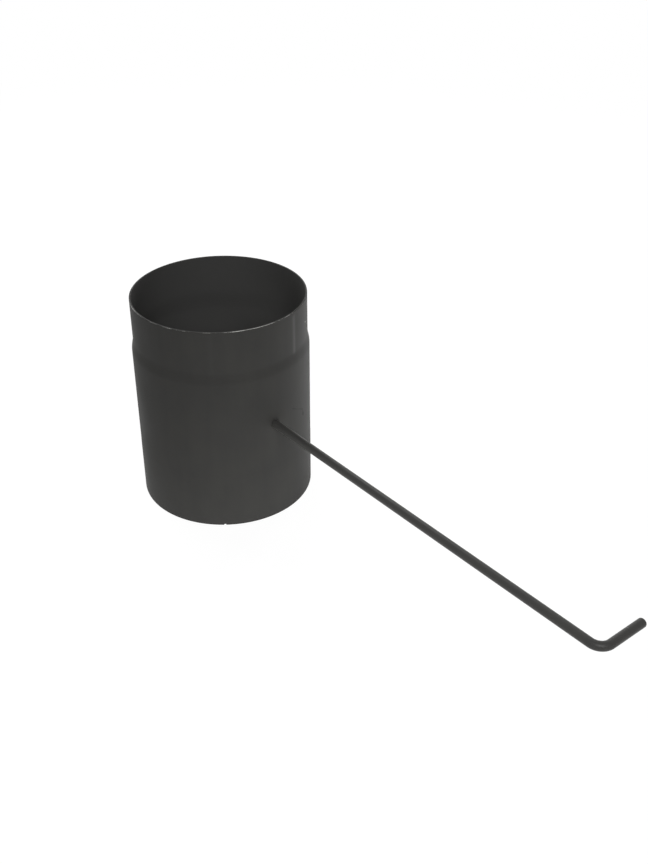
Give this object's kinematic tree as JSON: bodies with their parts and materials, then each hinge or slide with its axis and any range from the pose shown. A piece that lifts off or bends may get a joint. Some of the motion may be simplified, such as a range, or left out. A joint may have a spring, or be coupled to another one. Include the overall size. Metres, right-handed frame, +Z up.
{
  "type": "stove pipe damper",
  "caption": "Short length of black flue pipe with a swaged spigot and a round damper plate inside, turned by a long thin control rod with a right-angle handle.",
  "frame": {"origin": "centre of the pipe's lower end, the plain end, on the pipe's axis", "axes": "+Z up the pipe's axis to the spigot, +X along the control rod to its handle, +Y along the handle's short leg"},
  "size_m": [0.436, 0.1302, 0.16],
  "materials": {
    "pipe_paint": "matte charcoal heat-resistant paint, worn to bright metal along the spigot's rim",
    "rod_paint": "matte charcoal heat-resistant paint on round bar",
    "plate_steel": "black mill-scale steel sheet with a thin coat of heat-resistant paint",
    "clamp_steel": "plain bent steel strip",
    "fastener_steel": "plain steel hexagon screws and nuts"
  },
  "bodies": {
    "pipe": {"pipe_body": "pipe_paint"},
    "damper": {"control_rod": "rod_paint", "damper_plate": "plate_steel", "near_saddle_clamp": "clamp_steel", "far_saddle_clamp": "clamp_steel", "clamp_screws": "fastener_steel", "clamp_nuts": "fastener_steel"}
  },
  "joints": [
    {"name": "damper_turn", "type": "hinge", "parent": "pipe", "child": "damper", "pos_m": [0, 0, 0.08], "axis": [1, 0, 0], "continuous": true}
  ]
}
